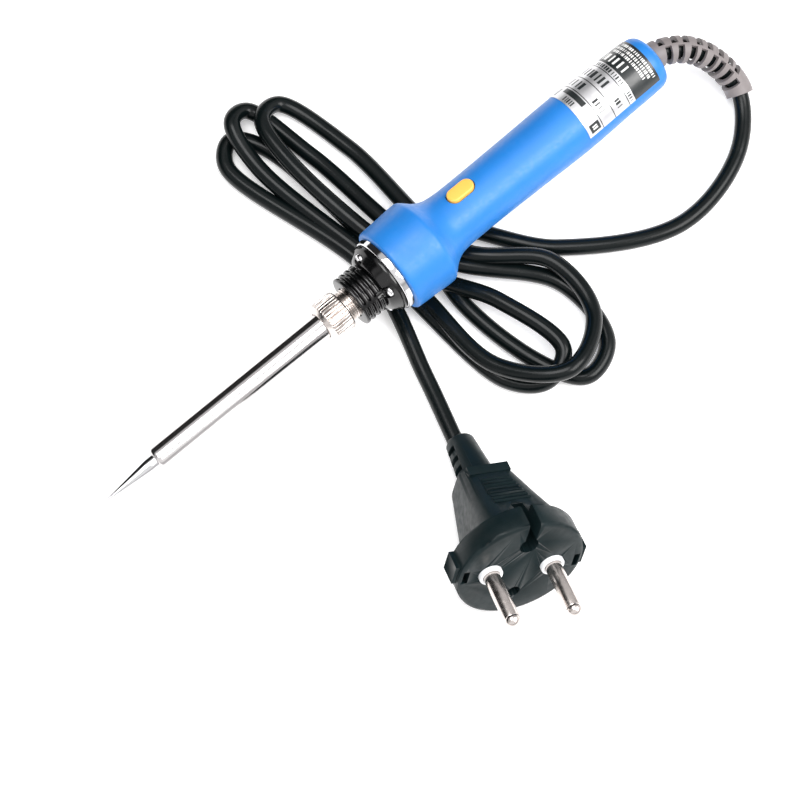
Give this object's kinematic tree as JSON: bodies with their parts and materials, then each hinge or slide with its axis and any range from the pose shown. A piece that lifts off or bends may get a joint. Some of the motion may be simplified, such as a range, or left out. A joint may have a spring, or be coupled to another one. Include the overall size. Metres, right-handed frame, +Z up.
{
  "type": "soldering iron",
  "caption": "Pencil soldering iron with a blue plastic handle, an oblong boost button, a steel barrel and a pointed tip, lying on its folded mains cord with a round-pin plug.",
  "frame": {"origin": "On the table, under the middle of the box around the iron and its cord guard, without the free cord and the plug.", "axes": "+X from the tip to the rear of the handle along the level axis of the iron, +Z up from the table, +Y to the left when looking along +X."},
  "size_m": [0.229, 0.1842, 0.0382],
  "materials": {
    "blue_plastic": "satin moulded",
    "orange_button": "satin moulded",
    "silver_label": "printed foil",
    "chrome": "mirror plated",
    "nickel": "nickel plated",
    "stainless": "polished",
    "bakelite": "glossy phenolic",
    "black_jacket": "smooth PVC jacket",
    "grey_guard": "matte",
    "plug_plastic": "satin moulded",
    "ceramic": "unglazed ceramic",
    "white_plastic": "moulded",
    "circuit_board": "solder resist",
    "black_component": "moulded",
    "brown_wire": "insulation",
    "blue_wire": "insulation",
    "green_yellow_wire": "insulation"
  },
  "bodies": {
    "root": {"heater_core": "ceramic", "threaded_collar": "nickel", "neck_insulator": "bakelite", "neck_screw_1": "chrome", "neck_screw_2": "chrome", "neck_screw_3": "chrome", "neck_screw_4": "chrome", "front_bezel_ring": "chrome", "heater_holder": "ceramic", "handle_shell": "blue_plastic", "rating_label": "silver_label", "switch_body": "black_component", "circuit_board": "circuit_board", "diode": "black_component", "heater_lead_1": "white_plastic", "heater_lead_2": "white_plastic", "live_core": "brown_wire", "neutral_core": "blue_wire", "earth_core": "green_yellow_wire", "cord_clamp": "white_plastic", "strain_relief": "grey_guard", "cord_in_guard": "black_jacket", "mains_cord": "black_jacket", "plug_body": "plug_plastic", "plug_pin_1": "nickel", "pin_collar_1": "white_plastic", "plug_pin_2": "nickel", "pin_collar_2": "white_plastic"},
    "button": {"power_button": "orange_button", "switch_plunger": "white_plastic"},
    "tip": {"soldering_tip": "chrome"},
    "barrel": {"barrel_sleeve": "stainless"},
    "nut": {"barrel_nut": "nickel"}
  },
  "joints": [
    {"name": "button_press", "type": "slide", "parent": "root", "child": "button", "axis": [0, -0.309, -0.9511], "range_m": [0, 0.0012], "stiffness_N_per_m": 2000, "springref_m": -0.0004},
    {"name": "tip_pull", "type": "slide", "parent": "root", "child": "tip", "axis": [-1, 0, 0], "range_m": [0, 0.025]},
    {"name": "barrel_pull", "type": "slide", "parent": "tip", "child": "barrel", "axis": [-1, 0, 0], "range_m": [0, 0.09]},
    {"name": "nut_turn", "type": "hinge", "parent": "barrel", "child": "nut", "pos_m": [-0.03119, 0.00488, 0.0214], "axis": [1, 0, 0], "continuous": true}
  ]
}
